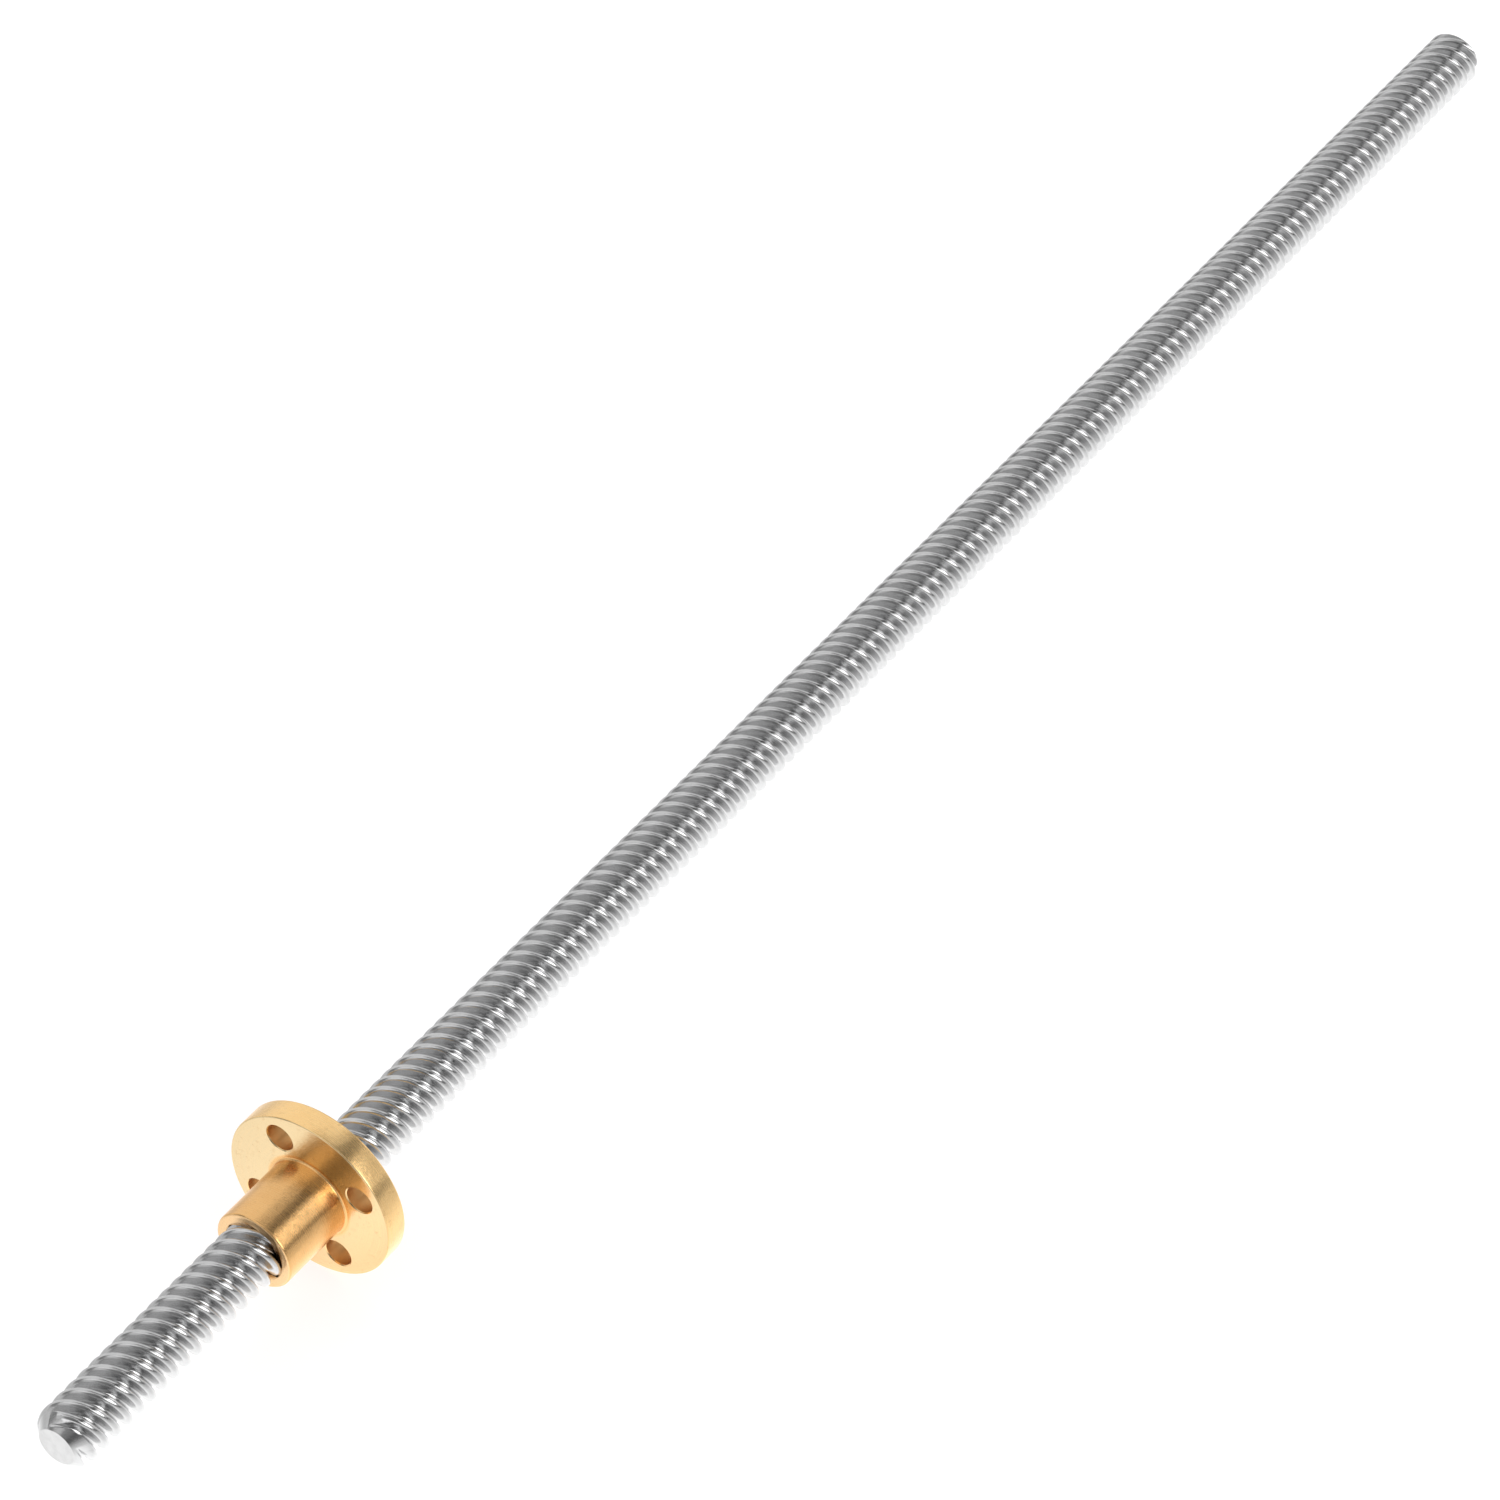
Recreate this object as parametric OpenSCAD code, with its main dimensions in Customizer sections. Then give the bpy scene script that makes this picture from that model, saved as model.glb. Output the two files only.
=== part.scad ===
// Lead screw with its flanged nut.
//
// The screw lies along X with the floor at z = 0, which the flange's rim touches.
// The origin is on the floor under the middle of the screw, and the nut is near the -X end.
// The thread is right-handed and trapezoidal. It has several starts side by side, so that
// one turn moves the nut along by that many pitches. The nut's own thread isn't drawn:
// its bore is the plain hole that clears the crests.

/* [Screw] */
// Diameter over the crests of the thread
screw_d = 8; // [6:0.25:12]
// Overall length
screw_len = 300; // [100:10:400]
// Size of the 45 degree chamfer at each end
end_chamfer = 1.6; // [0.4:0.1:2]

/* [Thread] */
// Distance along the screw from one ridge to the next
thread_pitch = 2; // [1.6:0.1:4]
// Number of threads that run side by side
thread_starts = 4; // [1:1:6]
// Depth from crest to root
thread_depth = 1.25; // [0.6:0.05:1.6]
// Width of the flat on top of a ridge
crest_flat = 0.7; // [0.4:0.01:1.2]
// Lean of each flank from square to the screw, in degrees
flank_lean = 15; // [5:1:20]
// Shift of the whole thread along the screw
thread_shift = 1.66; // [0:0.01:2]

/* [Nut] */
// Wall of the round body, from the bore to the outside
nut_wall = 1.05; // [0.8:0.05:4]
// Length of the body in front of the flange
nut_body_len = 10; // [5:0.5:30]
// Length of the short spigot behind the flange
nut_spigot_len = 1.5; // [0.8:0.1:5]
// Chamfer on the ends of the body and of the bore
nut_chamfer = 0.3; // [0.1:0.05:0.35]
// Radial gap between the bore and the crests
running_gap = 0.05; // [0.01:0.01:0.1]
// Length of screw that shows between its -X end and the nut
nut_from_end = 34; // [2:2:240]

/* [Flange] */
// Thickness of the flange
flange_t = 3.1; // [1.5:0.1:6]
// Distance from the body's side to the middle of a bolt hole
bolt_offset = 2.9; // [2.5:0.1:6]
// Distance from the middle of a bolt hole to the rim
rim_offset = 3; // [2.5:0.1:6]
// Chamfer on the rim's two edges
rim_chamfer = 0.25; // [0.1:0.05:0.5]
// Radius of the fillet where the body meets the flange
root_fillet = 0.35; // [0.1:0.05:0.6]

/* [Bolt holes] */
// Number of bolt holes
bolt_count = 4; // [2:1:6]
// Diameter of each hole
bolt_hole_d = 3.5; // [2:0.1:4.2]
// Chamfer on the edges of each hole
bolt_chamfer = 0.15; // [0.05:0.05:0.2]
// Turn of the first hole from straight up, about the screw, in degrees
bolt_turn = -27; // [-45:1:45]

/* [Hidden] */

screw_r = screw_d / 2;
root_r = screw_r - thread_depth;
end_face_r = screw_r - end_chamfer;
thread_lead = thread_pitch * thread_starts;
flank_w = thread_depth * tan(flank_lean);

bore_r = screw_r + running_gap;
body_r = bore_r + nut_wall;
bolt_circle_r = body_r + bolt_offset;
flange_r = bolt_circle_r + rim_offset;
flange_back = nut_body_len + flange_t;
nut_len = flange_back + nut_spigot_len;

axis_z = flange_r;
nut_x = nut_from_end - screw_len / 2;

// One ridge of the thread: its corners along the screw, from the middle of the crest,
// and how far each is from the screw's axis
ridge = [
    [-crest_flat / 2 - flank_w, root_r],
    [-crest_flat / 2, screw_r],
    [crest_flat / 2, screw_r],
    [crest_flat / 2 + flank_w, root_r]
];
ring_points = len(ridge) * thread_starts;

// The thread is drawn with about this many triangles, whatever its length and starts
thread_triangles = 12288;
thread_steps = floor(thread_triangles / (2 * ring_points));
chamfer_steps = 4;

round_fn = 96;
fillet_steps = 6;
// How far a cutting shape runs past the face that it cuts
overcut = 0.5;

// ---- lead screw ----

// Where the rings of points lie along the screw: close together in the end chamfers
function spread(from, to, steps) = [for (i = [0 : steps - 1]) from + (to - from) * i / steps];
ring_places = concat(
    spread(0, end_chamfer, chamfer_steps),
    spread(end_chamfer, screw_len - end_chamfer, thread_steps),
    spread(screw_len - end_chamfer, screw_len, chamfer_steps),
    [screw_len]
);

// Distance from the axis at s along the screw: the ridge, cut by the nearer end's chamfer
function cut_r(r, s) = min(r, end_face_r + min(s, screw_len - s));

// A ring of points at s along the screw. The whole ring turns once in each lead.
function ring(s) = [
    for (start = [0 : thread_starts - 1], corner = ridge)
        let (
            turn = 360 * (s - thread_shift - start * thread_pitch - corner[0]) / thread_lead,
            r = cut_r(corner[1], s)
        )
        [s, -r * sin(turn), r * cos(turn)]
];

module lead_screw() {
    points = [for (s = ring_places) each ring(s)];
    last = len(ring_places) - 1;
    end_faces = [
        [for (i = [ring_points - 1 : -1 : 0]) i],
        [for (i = [0 : ring_points - 1]) last * ring_points + i]
    ];
    sides = [
        for (step = [0 : last - 1], i = [0 : ring_points - 1])
            let (
                a = step * ring_points + i,
                b = step * ring_points + (i + 1) % ring_points
            )
            each [[a, b, b + ring_points], [a, b + ring_points, a + ring_points]]
    ];
    color("silver")
        translate([-screw_len / 2, 0, axis_z])
        polyhedron(points, concat(end_faces, sides));
}

// ---- flange nut ----

// Half of the nut's section, as [distance from the axis, distance from the mouth]
module nut_section() {
    fillet = [
        for (i = [0 : fillet_steps])
            let (a = 90 * i / fillet_steps)
            [body_r + root_fillet * (1 - cos(a)), nut_body_len - root_fillet * (1 - sin(a))]
    ];
    polygon(concat(
        [
            [bore_r, nut_chamfer],
            [bore_r + nut_chamfer, 0],
            [body_r - nut_chamfer, 0],
            [body_r, nut_chamfer]
        ],
        fillet,
        [
            [flange_r - rim_chamfer, nut_body_len],
            [flange_r, nut_body_len + rim_chamfer],
            [flange_r, flange_back - rim_chamfer],
            [flange_r - rim_chamfer, flange_back],
            [body_r, flange_back],
            [body_r, nut_len - nut_chamfer],
            [body_r - nut_chamfer, nut_len],
            [bore_r + nut_chamfer, nut_len],
            [bore_r, nut_len - nut_chamfer]
        ]
    ));
}

// What one bolt hole takes out of the flange, with a chamfer at both faces
module bolt_hole() {
    r = bolt_hole_d / 2;
    translate([0, 0, nut_body_len - overcut])
        cylinder(r = r, h = flange_t + 2 * overcut, $fn = round_fn);
    for (back = [0, 1])
        translate([0, 0, nut_body_len + back * flange_t])
        mirror([0, 0, back])
        cylinder(r1 = r + bolt_chamfer, r2 = r, h = bolt_chamfer, $fn = round_fn);
}

module flange_nut() {
    color("goldenrod")
        translate([nut_x, 0, axis_z])
        rotate([0, 90, 0])
        difference() {
            rotate_extrude($fn = round_fn) nut_section();
            for (i = [0 : bolt_count - 1])
                rotate(180 + bolt_turn + 360 * i / bolt_count)
                translate([bolt_circle_r, 0, 0])
                bolt_hole();
        }
}

lead_screw();
flange_nut();
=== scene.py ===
"""Looks of the lead screw and its flanged nut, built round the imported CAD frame.

The screw lies along X at a height of AXIS_Z over the floor, and the nut's mouth faces -X.
Sizes are written in millimetres, and are multiplied by MM where Blender needs metres.
"""
import math
from collections import namedtuple

import bmesh
import bpy
import numpy as np
from mathutils import Matrix, Vector


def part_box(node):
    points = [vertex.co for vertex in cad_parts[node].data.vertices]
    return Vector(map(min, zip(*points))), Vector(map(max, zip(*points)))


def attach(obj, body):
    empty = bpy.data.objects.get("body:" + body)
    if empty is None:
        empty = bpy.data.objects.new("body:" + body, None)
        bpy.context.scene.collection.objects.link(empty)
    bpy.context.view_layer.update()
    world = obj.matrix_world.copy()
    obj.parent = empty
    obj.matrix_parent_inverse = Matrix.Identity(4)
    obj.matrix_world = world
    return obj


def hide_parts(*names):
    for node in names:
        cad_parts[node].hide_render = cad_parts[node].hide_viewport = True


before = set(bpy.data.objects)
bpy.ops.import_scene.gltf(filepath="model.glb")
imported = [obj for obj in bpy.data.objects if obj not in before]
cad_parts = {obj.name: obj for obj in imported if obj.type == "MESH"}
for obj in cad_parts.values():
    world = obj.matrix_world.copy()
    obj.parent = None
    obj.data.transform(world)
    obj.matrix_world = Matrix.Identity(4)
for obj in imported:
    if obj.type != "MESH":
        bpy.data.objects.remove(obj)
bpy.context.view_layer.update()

MM = 0.001
scene = bpy.context.scene

# ---------------------------------------------------------------- camera

TARGET = Vector((-19.09, 0.55, 11.33)) * MM
DISTANCE = 727.74 * MM
AZIMUTH, ELEVATION = math.radians(-55.44), math.radians(43.15)
LENS, SENSOR = 146.36, 36.0
CLIP_START, CLIP_END = 20 * MM, 50000 * MM


def direction(azimuth, elevation):
    """From the object towards a viewer at that azimuth and elevation."""
    level = math.cos(elevation)
    return Vector((math.sin(azimuth) * level, -math.cos(azimuth) * level, math.sin(elevation)))


def make_camera():
    data = bpy.data.cameras.new("camera")
    data.lens, data.sensor_width = LENS, SENSOR
    data.clip_start, data.clip_end = CLIP_START, CLIP_END
    camera = bpy.data.objects.new("camera", data)
    back = direction(AZIMUTH, ELEVATION)
    camera.location = TARGET + back * DISTANCE
    camera.rotation_mode = "QUATERNION"
    camera.rotation_quaternion = (-back).to_track_quat("-Z", "Y")
    scene.collection.objects.link(camera)
    scene.camera = camera


make_camera()
scene.view_settings.view_transform = "Standard"

# ---------------------------------------------------------------- sizes

screw_lo, screw_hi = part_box("lead_screw")
nut_lo, nut_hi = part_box("flange_nut")
SCREW_X0, SCREW_X1 = screw_lo.x / MM, screw_hi.x / MM
NUT_X0 = nut_lo.x / MM
AXIS_Z = round((nut_lo.z + nut_hi.z) / 2 / MM, 2)

# The rolled crests are rounded, and lower than the CAD's.
SCREW_R, END_CHAMFER = 3.87, 1.47
PITCH, STARTS, DEPTH = 2.0, 4, 1.25
LEAD = PITCH * STARTS
CREST_FLAT, FLANK_LEAN = 0.8, math.radians(17)
CREST_ROUND, ROOT_ROUND = 0.5, 0.35
# Along the top of the screw, from its near end to the middle of the first ridge.
THREAD_SHIFT = 1.66

BODY_R, BODY_LEN = 5.1, 10.0
FLANGE_R, FLANGE_T = 10.99, 3.1
SPIGOT = 1.5
NUT_LEN = BODY_LEN + FLANGE_T + SPIGOT
MOUTH_R, MOUTH_DEPTH = 4.0, 0.35
BOLTS, BOLT_CIRCLE_R, BOLT_TURN = 4, 8.0, -27
BOLT_HOLE_R, BOLT_CHAMFER = 1.75, 0.12

# The outline of the nut's thread stands this far off the screw's. Its mesh, with few points
# across a groove's bottom, still cuts into the screw's crests, out of sight in the bore.
TAP_GAP = 0.06
TAP_MINOR_R = 3.1
TAP_CREST_ROUND, TAP_ROOT_ROUND = 0.1, 0.05

# Edge roundings of the nut.
LIP_ROUND, BACK_LIP_ROUND = 0.1, 0.08
BODY_ROUND, FLANGE_FILLET, RIM_ROUND = 0.28, 0.3, 0.2
SPIGOT_FILLET, SPIGOT_ROUND = 0.12, 0.25

# How fine the meshes are: points round a turned shape, rings in one lead of a thread, and
# steps over a rounded crest.
BLANK_SEGMENTS, NUT_SEGMENTS, HOLE_SEGMENTS = 128, 192, 64
SCREW_RINGS, TAP_RINGS = 32, 48
SCREW_CREST_STEPS, TAP_CREST_STEPS = 5, 2

# A cutter, or a bar before it is cut, runs past the piece by this much.
PAST = 1.0
# Edges that turn by more than this stay sharp.
SHARP_ANGLE = math.radians(40)


# ---------------------------------------------------------------- meshes

def new_object(name, points, faces):
    mesh = bpy.data.meshes.new(name)
    mesh.from_pydata([tuple(p) for p in points], [], faces)
    mesh.update()
    made = bpy.data.objects.new(name, mesh)
    scene.collection.objects.link(made)
    return made


def face_out(made):
    """Turns every face of a closed mesh to look outwards."""
    work = bmesh.new()
    work.from_mesh(made.data)
    bmesh.ops.recalc_face_normals(work, faces=work.faces)
    if work.calc_volume(signed=True) < 0:
        bmesh.ops.reverse_faces(work, faces=work.faces)
    work.to_mesh(made.data)
    work.free()


def apply_modifiers(made):
    depsgraph = bpy.context.evaluated_depsgraph_get()
    baked = bpy.data.meshes.new_from_object(made.evaluated_get(depsgraph))
    old = made.data
    made.modifiers.clear()
    made.data = baked
    bpy.data.meshes.remove(old)


def combine(made, other, how):
    """Cuts another closed mesh away or keeps what the two share, and deletes the other."""
    step = made.modifiers.new("combine", "BOOLEAN")
    step.operation, step.object, step.solver = how, other, "MANIFOLD"
    apply_modifiers(made)
    old = other.data
    bpy.data.objects.remove(other)
    bpy.data.meshes.remove(old)


def shade(made):
    made.data.shade_smooth()
    made.data.set_sharp_from_angle(angle=SHARP_ANGLE)


def round_corners(corners):
    """Replaces each (a, b, radius, steps) of a closed outline with points on an arc."""
    almost_straight = math.pi / 2 - 0.02
    out = []
    for i, (a, b, radius, steps) in enumerate(corners):
        here = np.array((a, b))
        before = np.array(corners[i - 1][:2]) - here
        after = np.array(corners[(i + 1) % len(corners)][:2]) - here
        u, v = before / np.linalg.norm(before), after / np.linalg.norm(after)
        half = math.acos(max(-1.0, min(1.0, float(u @ v)))) / 2
        if radius <= 0 or half > almost_straight:
            out.append(here)
            continue
        middle = here + (u + v) / np.linalg.norm(u + v) * radius / math.sin(half)
        start = here + u * radius / math.tan(half) - middle
        end = here + v * radius / math.tan(half) - middle
        sweep = math.pi - 2 * half
        for k in range(steps + 1):
            t = k / steps
            arc = math.sin((1 - t) * sweep) * start + math.sin(t * sweep) * end
            out.append(middle + arc / math.sin(sweep))
    return out


def thread_bar(name, x0, x1, ridge, rings_in_lead):
    """A closed bar along X whose ridges wind round it. ridge is one pitch's outline."""
    rings = int(math.ceil((x1 - x0) / LEAD * rings_in_lead)) + 1
    along = np.linspace(x0, x1, rings)
    shift = np.array([k * PITCH + offset for k in range(STARTS) for offset, _ in ridge])
    reach = np.array([r for _ in range(STARTS) for _, r in ridge])
    turn = 2 * math.pi * (along[:, None] - SCREW_X0 - THREAD_SHIFT - shift[None, :]) / LEAD
    points = np.stack([
        np.repeat(along[:, None], len(shift), axis=1),
        -reach * np.sin(turn),
        AXIS_Z + reach * np.cos(turn),
    ], axis=-1).reshape(-1, 3) * MM
    n = len(shift)
    faces = [
        (ring * n + i, (ring + 1) * n + i, (ring + 1) * n + (i + 1) % n, ring * n + (i + 1) % n)
        for ring in range(rings - 1)
        for i in range(n)
    ]
    faces += [tuple(range(n)), tuple((rings - 1) * n + i for i in reversed(range(n)))]
    made = new_object(name, points, faces)
    face_out(made)
    return made


def lathe(name, outline, segments, has_bore=False):
    """Turns an outline of (x, r) round the screw's axis.

    With a bore the outline is a closed loop. Without one, a flat disc closes each end.
    """
    n = len(outline)
    points = [
        Vector((x, -r * math.sin(turn), AXIS_Z + r * math.cos(turn))) * MM
        for turn in np.arange(segments) * 2 * math.pi / segments
        for x, r in outline
    ]
    faces = []
    for here in range(segments):
        there = (here + 1) % segments
        for i in range(n if has_bore else n - 1):
            after = (i + 1) % n
            faces.append((here * n + i, here * n + after, there * n + after, there * n + i))
    if not has_bore:
        faces += [tuple(s * n + i for s in range(segments)) for i in (0, n - 1)]
    made = new_object(name, points, faces)
    face_out(made)
    return made


def ridge_outline(crest_r, half_width, crest_round, root_round, crest_steps):
    """One ridge between the middles of its roots, as (offset along the screw, radius)."""
    root_r = SCREW_R - DEPTH
    root_steps = (crest_steps + 1) // 2
    foot = half_width + (crest_r - root_r) * math.tan(FLANK_LEAN)
    rounded = round_corners([
        (-PITCH / 2, root_r, 0, 0),
        (-foot, root_r, root_round, root_steps),
        (-half_width, crest_r, crest_round, crest_steps),
        (half_width, crest_r, crest_round, crest_steps),
        (foot, root_r, root_round, root_steps),
        (PITCH / 2, root_r, 0, 0),
    ])
    # the middles themselves lie on a straight line, and need no point
    return [tuple(p) for p in rounded if -PITCH / 2 < p[0] < PITCH / 2]


# ---------------------------------------------------------------- screw

def make_screw():
    """The threaded bar, cut by a blank whose chamfered ends break through the ridges."""
    ridge = ridge_outline(SCREW_R, CREST_FLAT / 2, CREST_ROUND, ROOT_ROUND, SCREW_CREST_STEPS)
    bar = thread_bar("screw_thread", SCREW_X0 - PAST, SCREW_X1 + PAST, ridge, SCREW_RINGS)
    face_r, wide = SCREW_R - END_CHAMFER, SCREW_R + PAST
    blank = lathe("blank", [
        (SCREW_X0, face_r),
        (SCREW_X0 + wide - face_r, wide),
        (SCREW_X1 - wide + face_r, wide),
        (SCREW_X1, face_r),
    ], BLANK_SEGMENTS)
    combine(bar, blank, "INTERSECT")
    shade(bar)
    return bar


# ---------------------------------------------------------------- nut

def nut_outline():
    """The turned section, from the mouth's bore round the outside to the bore at the back."""
    front, back = BODY_LEN, BODY_LEN + FLANGE_T
    corners = [
        (MOUTH_DEPTH, TAP_MINOR_R, LIP_ROUND, 3),
        (0, MOUTH_R, LIP_ROUND, 4),
        (0, BODY_R, BODY_ROUND, 6),
        (front, BODY_R, FLANGE_FILLET, 7),
        (front, FLANGE_R, RIM_ROUND, 6),
        (back, FLANGE_R, RIM_ROUND, 6),
        (back, BODY_R, SPIGOT_FILLET, 4),
        (NUT_LEN, BODY_R, SPIGOT_ROUND, 6),
        (NUT_LEN, MOUTH_R, BACK_LIP_ROUND, 3),
        (NUT_LEN - MOUTH_DEPTH, TAP_MINOR_R, LIP_ROUND, 3),
    ]
    return [(NUT_X0 + x, r) for x, r in round_corners(corners)]


def bolt_cutter(i):
    """A plug through the flange that widens at both faces."""
    turn = math.radians(BOLT_TURN + 360 / BOLTS * i)
    wide = BOLT_HOLE_R + BOLT_CHAMFER
    front = NUT_X0 + BODY_LEN
    back = front + FLANGE_T
    plug = lathe("plug", [
        (front - PAST, wide),
        (front, wide),
        (front + BOLT_CHAMFER, BOLT_HOLE_R),
        (back - BOLT_CHAMFER, BOLT_HOLE_R),
        (back, wide),
        (back + PAST, wide),
    ], HOLE_SEGMENTS)
    offset = Vector((0, -math.sin(turn), math.cos(turn))) * BOLT_CIRCLE_R * MM
    plug.data.transform(Matrix.Translation(offset))
    return plug


def make_tap():
    """What cuts the nut's thread, with the screw's own outline made larger by the gap."""
    half_width = CREST_FLAT / 2 + TAP_GAP - TAP_GAP * math.tan(FLANK_LEAN)
    ridge = ridge_outline(SCREW_R + TAP_GAP, half_width, TAP_CREST_ROUND, TAP_ROOT_ROUND,
                          TAP_CREST_STEPS)
    return thread_bar("tap", NUT_X0 - 2 * PAST, NUT_X0 + NUT_LEN + 2 * PAST, ridge, TAP_RINGS)


def make_nut():
    nut = lathe("flange_nut_brass", nut_outline(), NUT_SEGMENTS, has_bore=True)
    for i in range(BOLTS):
        combine(nut, bolt_cutter(i), "DIFFERENCE")
    combine(nut, make_tap(), "DIFFERENCE")
    shade(nut)
    return nut


# ---------------------------------------------------------------- shader nodes

# How far a bump of full strength stands out.
MARK_HEIGHT = 0.02 * MM


def grey(level):
    return (level, level, level, 1)


class Shader:
    """Short calls for the nodes of a material or a world."""

    def __init__(self, tree, output):
        self.tree = tree
        self.tree.nodes.clear()
        self.out = self.node(output)

    def node(self, kind, inputs=None, **settings):
        made = self.tree.nodes.new(kind)
        for key, value in settings.items():
            setattr(made, key, value)
        for key, value in (inputs or {}).items():
            self.put(made.inputs[key], value)
        return made

    def put(self, socket, value):
        if isinstance(value, bpy.types.NodeSocket):
            self.tree.links.new(value, socket)
        else:
            socket.default_value = value

    def finish(self, surface):
        self.put(self.out.inputs["Surface"], surface.outputs[0])

    def math(self, operation, a, b=0.0, c=0.0):
        return self.node("ShaderNodeMath", {0: a, 1: b, 2: c}, operation=operation).outputs[0]

    def add(self, a, b):
        return self.math("ADD", a, b)

    def subtract(self, a, b):
        return self.math("SUBTRACT", a, b)

    def multiply(self, a, b):
        return self.math("MULTIPLY", a, b)

    def multiply_add(self, a, factor, b):
        return self.math("MULTIPLY_ADD", a, factor, b)

    def range(self, value, low, high, to_low=0.0, to_high=1.0, smooth=False):
        made = self.node("ShaderNodeMapRange", {
            "Value": value, "From Min": low, "From Max": high,
            "To Min": to_low, "To Max": to_high,
        })
        if smooth:
            made.interpolation_type = "SMOOTHSTEP"
        return made.outputs["Result"]

    def between(self, value, low, high, edge, smooth=False):
        """1 from low to high, 0 outside, with edges that reach that far to both sides."""
        rise = self.range(value, low - edge, low + edge, 0.0, 1.0, smooth)
        fall = self.range(value, high - edge, high + edge, 1.0, 0.0, smooth)
        return self.multiply(rise, fall)

    def noise(self, vector, scale, detail, rough):
        return self.node("ShaderNodeTexNoise", {
            "Vector": vector, "Scale": scale, "Detail": detail, "Roughness": rough,
        }).outputs["Fac"]

    def vector(self, x, y, z):
        return self.node("ShaderNodeCombineXYZ", {0: x, 1: y, 2: z}).outputs[0]

    def mix(self, factor, a, b):
        """Colour a at 0 and b at 1. A Mix node's colours are its inputs 6 and 7 and output 2."""
        return self.node("ShaderNodeMix", {0: factor, 6: a, 7: b}, data_type="RGBA").outputs[2]

    def place(self):
        """x, y and z in millimetres, with y and z from the screw's axis."""
        metres = self.node("ShaderNodeTexCoord").outputs["Object"]
        x, y, z = self.node("ShaderNodeSeparateXYZ", {0: metres}).outputs
        return (self.multiply(x, 1 / MM), self.multiply(y, 1 / MM),
                self.multiply_add(z, 1 / MM, -AXIS_Z))

    def away(self, y, z):
        """How far a point is from the screw's axis."""
        return self.math("SQRT", self.add(self.multiply(y, y), self.multiply(z, z)))

    def turn(self, y, z):
        """How far round the screw a point is, in turns from straight up towards -Y."""
        angle = self.math("ARCTAN2", self.multiply(y, -1.0), z)
        return self.math("DIVIDE", angle, 2 * math.pi)

    def metal(self, colour, rough, relief, strength):
        bump = self.node("ShaderNodeBump", {
            "Height": relief, "Strength": strength, "Distance": MARK_HEIGHT,
        })
        return self.node("ShaderNodeBsdfPrincipled", {
            "Base Color": colour, "Roughness": rough, "Metallic": 1.0,
            "Normal": bump.outputs[0],
        })


def new_material(name):
    """A material, and the shader that makes its nodes."""
    material = bpy.data.materials.new(name)
    material.use_nodes = True
    return material, Shader(material.node_tree, "ShaderNodeOutputMaterial")


def paint(made, material):
    made.data.materials.clear()
    made.data.materials.append(material)


# ---------------------------------------------------------------- steel

STREAK_DARK, STREAK_PALE = (0.51, 0.512, 0.515, 1), (0.61, 0.61, 0.612, 1)
STEEL_DULL = grey(0.44)
SAWN, SAWN_DULL = grey(0.62), grey(0.56)
# How deep into the bar the colour of its sawn ends goes.
SAWN_FULL, SAWN_GONE = 0.01, 0.03
STEEL_ROUGH = 0.17, 0.24
STEEL_RELIEF, DULL_SHOWS = 0.25, 0.35


def rolled_streaks(s, x, y, z):
    """Noise drawn out along the thread, which the four ridges share."""
    # An angle that goes once round between one ridge and the next, the same for every start.
    wound = s.subtract(s.subtract(x, SCREW_X0 + THREAD_SHIFT), s.multiply(s.turn(y, z), LEAD))
    across = s.multiply(wound, 2 * math.pi / PITCH)
    circle, change_round, change_along = 6.0, 0.12, 0.06
    drawn = s.vector(
        s.multiply_add(s.math("COSINE", across), circle, s.multiply(y, change_round)),
        s.multiply_add(s.math("SINE", across), circle, s.multiply(z, change_round)),
        s.multiply(x, change_along),
    )
    return s.noise(drawn, scale=2.2, detail=4.0, rough=0.65)


def steel():
    """Streaks along the thread, dull patches, and brighter sawn ends."""
    material, s = new_material("steel")
    x, y, z = s.place()
    streaks = rolled_streaks(s, x, y, z)
    # the patches are nearly three times as long as they are wide
    stretched = s.vector(s.multiply(x, 0.35), y, z)
    patches = s.noise(stretched, scale=0.8, detail=3.0, rough=0.6)
    clean = s.mix(s.range(streaks, 0.3, 0.7), STREAK_DARK, STREAK_PALE)
    rolled = s.mix(s.range(patches, 0.35, 0.7, to_high=DULL_SHOWS), clean, STEEL_DULL)
    near_end = s.range(x, SCREW_X0 + SAWN_FULL, SCREW_X0 + SAWN_GONE, 1.0, 0.0)
    far_end = s.range(x, SCREW_X1 - SAWN_GONE, SCREW_X1 - SAWN_FULL)
    sawn = s.mix(s.range(patches, 0.4, 0.7), SAWN, SAWN_DULL)
    colour = s.mix(s.math("MAXIMUM", near_end, far_end), rolled, sawn)
    rough = s.range(streaks, 0.25, 0.75, *STEEL_ROUGH)
    s.finish(s.metal(colour, rough, streaks, STEEL_RELIEF))
    return material


# ---------------------------------------------------------------- brass

# Each pair is the clean metal and its blotches.
# The body's pair is painted a deeper gold than the rim's, as painted shade; the blotches are the
# metal's own.
BODY_PAINTED_SHADE_GOLD = (0.80, 0.46, 0.18, 1), (0.75, 0.42, 0.16, 1)
RIM_GOLD = (0.95, 0.64, 0.29, 1), (0.92, 0.60, 0.26, 1)
# The flange face is painted pale and washed out, as a painted highlight, and darker on its side
# towards the floor and -Y, as painted shade.
FACE_PAINTED_HIGHLIGHT_GOLD, FACE_PAINTED_SHADE_GOLD = (0.77, 0.60, 0.35, 1), (0.69, 0.44, 0.22, 1)
# Painted light: the mouth's end is painted in its own tone, between the body's and the rim's, for
# how it is lit.
MOUTH_PAINTED_LIGHT_GOLD = (0.78, 0.51, 0.27, 1)
MARK_GOLD = (0.97, 0.70, 0.36, 1)
# Painted shade inside the bolt holes.
HOLE_PAINTED_SHADE_GOLD = (0.72, 0.42, 0.17, 1)
SPOT_BROWN = (0.62, 0.38, 0.16, 1)
MARKS_SHOW, SPOTS_SHOW = 0.3, 0.4

BRASS_ROUGH = 0.24, 0.30
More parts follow.
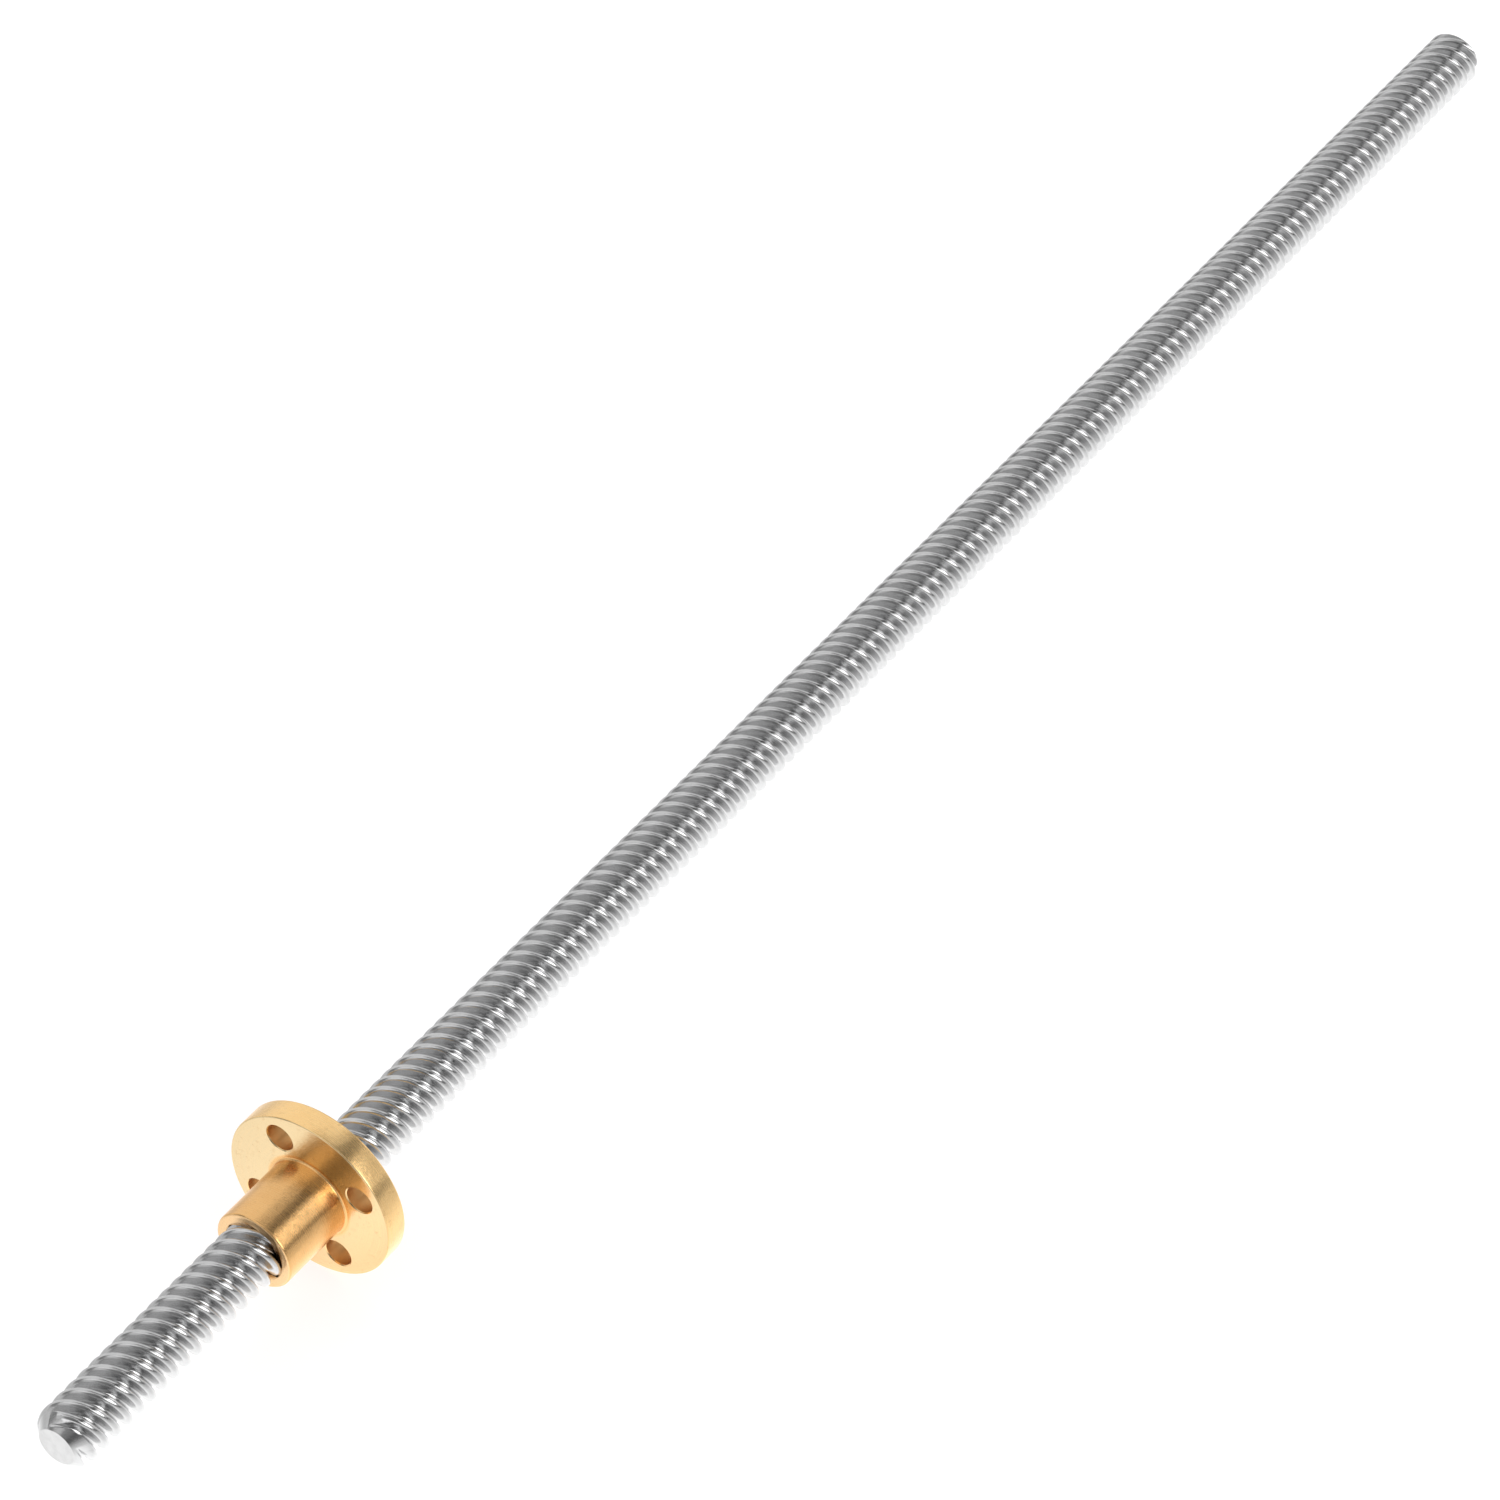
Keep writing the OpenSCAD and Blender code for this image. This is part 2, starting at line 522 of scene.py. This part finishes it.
# What each of these adds to the roughness.
HOLES_ROUGH, FACE_ROUGH, SPOTS_ROUGH = 0.18, -0.05, 0.08
BRASS_RELIEF, WAVE_HEIGHT = 0.4, 3.0

Zones = namedtuple("Zones", "rim face low mouth holes")


def nut_zones(s, x, y, z):
    """How much a point is in each zone of the nut, from 0 to 1."""
    away = s.away(y, z)
    front = NUT_X0 + BODY_LEN
    back = front + FLANGE_T
    on_front = s.range(x, front + 0.02, front + 0.1, 1.0, 0.0)
    off_body = s.range(away, BODY_R + 0.35, BODY_R + 0.8, smooth=True)
    in_flange = s.between(x, front + 0.15, back - 0.15, edge=0.05)
    reach = BOLT_HOLE_R + 0.15
    across_holes = s.between(away, BOLT_CIRCLE_R - reach, BOLT_CIRCLE_R + reach, edge=0.1)
    return Zones(
        rim=s.range(away, BODY_R + 0.3, BODY_R + 1.0, smooth=True),
        face=s.multiply(on_front, off_body),
        # painted shade on the side of the flange's face towards the floor and -Y
        low=s.range(s.add(y, z), -14.0, 2.0, 1.0, 0.0),
        mouth=s.range(x, NUT_X0 + 0.02, NUT_X0 + 0.1, 1.0, 0.0),
        holes=s.multiply(across_holes, in_flange),
    )


def brass():
    """A body painted a deeper gold than the rim as painted shade, a flange face painted pale as a
    painted highlight with painted shade on its low side, turning marks and dull spots.
    """
    material, s = new_material("brass")
    x, y, z = s.place()
    zones = nut_zones(s, x, y, z)
    fine, slow_change = 9.0, 0.05
    turned = s.vector(
        s.multiply_add(s.away(y, z), fine, s.multiply(y, slow_change)),
        s.multiply_add(x, fine, s.multiply(z, slow_change)),
        0.0,
    )
    marks = s.noise(turned, scale=1.4, detail=4.0, rough=0.7)
    point = s.vector(x, y, z)
    blotches = s.range(s.noise(point, scale=0.45, detail=4.0, rough=0.6), 0.3, 0.7)
    # handling leaves small dull spots
    spots = s.range(s.noise(point, scale=1.6, detail=5.0, rough=0.7), 0.56, 0.70)

    # painted shade: the body, nearer the axis than the rim, is a deeper gold than the rim
    colour = s.mix(zones.rim, s.mix(blotches, *BODY_PAINTED_SHADE_GOLD), s.mix(blotches, *RIM_GOLD))
    # painted highlight on the flange face, with painted shade on its side towards the floor and
    # -Y
    colour = s.mix(zones.face, colour, s.mix(zones.low, FACE_PAINTED_HIGHLIGHT_GOLD, FACE_PAINTED_SHADE_GOLD))
    # painted light: the mouth's end gets its own tone, between the body's and the rim's
    colour = s.mix(zones.mouth, colour, MOUTH_PAINTED_LIGHT_GOLD)
    colour = s.mix(s.range(marks, 0.3, 0.75, to_high=MARKS_SHOW), colour, MARK_GOLD)
    # painted shade: the bolt holes' walls are a darker gold
    colour = s.mix(zones.holes, colour, HOLE_PAINTED_SHADE_GOLD)
    colour = s.mix(s.multiply(spots, SPOTS_SHOW), colour, SPOT_BROWN)

    rough = s.range(marks, 0.25, 0.75, *BRASS_ROUGH)
    rough = s.multiply_add(zones.holes, HOLES_ROUGH, rough)
    rough = s.multiply_add(zones.face, FACE_ROUGH, rough)
    rough = s.multiply_add(spots, SPOTS_ROUGH, rough)

    # slow waves, twice as long along the nut as across it, break up the reflections
    stretched = s.vector(s.multiply(x, 0.5), y, z)
    waves = s.noise(stretched, scale=1.1, detail=2.0, rough=0.5)
    relief = s.multiply_add(waves, WAVE_HEIGHT, marks)
    s.finish(s.metal(colour, rough, relief, BRASS_RELIEF))
    return material


# ---------------------------------------------------------------- pieces

screw = make_screw()
paint(screw, steel())
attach(screw, "screw")
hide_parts("lead_screw")

nut = make_nut()
paint(nut, brass())
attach(nut, "nut")
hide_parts("flange_nut")


# ---------------------------------------------------------------- studio

FLOOR_REACH = 6000 * MM
FLOOR_GREY, FLOOR_SEEN = grey(0.4), grey(0.75)
# A painted pool of light on the floor, which only reflections show: metal sees the floor at level
# 1 as far as POOL_FULL from under the screw's axis, and at POOL_FAR from POOL_END on.
POOL_FULL, POOL_END, POOL_FAR = 8.0, 60.0, 0.45
# A painted strip of light just in front of the screw, which only reflections show, adds
# STRIP_LEVEL, and fades out from STRIP_FULL to STRIP_END.
STRIP_Y, STRIP_FULL, STRIP_END, STRIP_LEVEL = -6.0, 3.0, 9.0, 0.3


def floor_glow(s):
    """How bright metal sees the floor, with a painted pool and strip of light that only
    reflections show.
    """
    y = s.place()[1]
    painted_light_pool = s.range(s.math("ABSOLUTE", y), POOL_FULL, POOL_END, 1.0, POOL_FAR, smooth=True)
    off_strip = s.math("ABSOLUTE", s.subtract(y, STRIP_Y))
    painted_light_strip = s.range(off_strip, STRIP_FULL, STRIP_END, STRIP_LEVEL, 0.0, smooth=True)
    return s.add(painted_light_pool, painted_light_strip)


def make_floor():
    """A pale floor that looks white to the camera, glows in the metal with a painted pool and
    strip of light, and keeps the shadow.
    """
    corners = [(-1, -1), (1, -1), (1, 1), (-1, 1)]
    points = [(x * FLOOR_REACH, y * FLOOR_REACH, 0) for x, y in corners]
    floor = new_object("floor", points, [(0, 1, 2, 3)])
    material, s = new_material("floor_white")
    path = s.node("ShaderNodeLightPath").outputs
    mirrored = s.math("MAXIMUM", path["Is Glossy Ray"], path["Is Transmission Ray"])
    glow = s.mix(path["Is Camera Ray"], s.multiply(mirrored, floor_glow(s)), FLOOR_SEEN)
    paper = s.node("ShaderNodeBsdfDiffuse", {"Color": FLOOR_GREY})
    light = s.node("ShaderNodeEmission", {"Color": glow, "Strength": 1.0})
    s.finish(s.node("ShaderNodeAddShader", {0: paper.outputs[0], 1: light.outputs[0]}))
    paint(floor, material)


# The studio is a plain room with soft boxes and dark screens, the cards. A card covers the
# directions from along0 to along1 (-1 is beyond the screw's near end, 1 beyond its far one) and
# from angle0 to angle1 (degrees round the screw, 0 straight up, + towards +Y), at a brightness of
# level. It turns by slant degrees for each 1 of along, and its edges are soft. A later card lies
# over an earlier one.
Card = namedtuple("Card", "along0 along1 angle0 angle1 level slant")
ROOM_LEVEL = 1.0
CARDS = [
    Card(-1.2, -0.15, -95, 80, 0.27, -5),    # the dimmer room on the camera's side
    Card(-1.2, -0.75, -15, 60, 0.85, -15),   # window over the near end
    Card(-0.95, -0.65, -45, 10, 0.28, 10),   # dim patch at the window's edge
    Card(-0.9, -0.68, -75, -40, 0.08, 0),    # small dark screen, seen in the near end's cone
    Card(-0.7, -0.2, -5, 50, 1.15, -25),     # top fill
    Card(-0.6, -0.2, -80, -50, 1.4, 20),     # low fill
    Card(-0.35, 0.33, -75, -40, 5.2, 10),    # key
    Card(0.26, 0.75, -74, -42, 0.5, 40),     # the key's dim side
    Card(-0.2, 0.5, -48, -23, 0.02, 44),     # dark screen over the key
    Card(0.5, 0.95, -31, -11, 0.04, 44),     # second dark screen, towards the far end
    Card(0.05, 0.38, -20, 16, 0.12, -30),    # dim patch above the first dark screen
    Card(0.74, 1.15, -52, -30, 2.0, -20),    # far soft box
    Card(-0.5, 0.7, -100, -75, 0.05, -10),   # dark screen under the key
    Card(0.75, 1.2, 20, 92, 0.55, 0),        # the dimmer room beyond the far end
]
# Half the width of a card's soft edge.
EDGE_ALONG, EDGE_ANGLE = 0.05, 3.5


def card_cover(s, along, angle, card):
    """1 where a direction is on the card, 0 off it, and in between over its soft edge."""
    middle = (card.along0 + card.along1) / 2
    straight = s.subtract(angle, s.multiply(s.subtract(along, middle), card.slant))
    return s.multiply(
        s.between(along, card.along0, card.along1, EDGE_ALONG, smooth=True),
        s.between(straight, card.angle0, card.angle1, EDGE_ANGLE, smooth=True),
    )


def make_world():
    """The room and its cards, in place of lamps. The camera sees plain white."""
    world = bpy.data.worlds.new("studio")
    scene.world = world
    world.use_nodes = True
    s = Shader(world.node_tree, "ShaderNodeOutputWorld")
    towards = s.node("ShaderNodeTexCoord").outputs["Generated"]
    along, y, z = s.node("ShaderNodeSeparateXYZ", {0: towards}).outputs
    angle = s.multiply(s.math("ARCTAN2", y, z), 180 / math.pi)
    light = grey(ROOM_LEVEL)
    for card in CARDS:
        light = s.mix(card_cover(s, along, angle, card), light, grey(card.level))
    is_camera = s.node("ShaderNodeLightPath").outputs["Is Camera Ray"]
    s.finish(s.node("ShaderNodeBackground", {"Color": s.mix(is_camera, light, grey(1))}))


make_floor()
make_world()
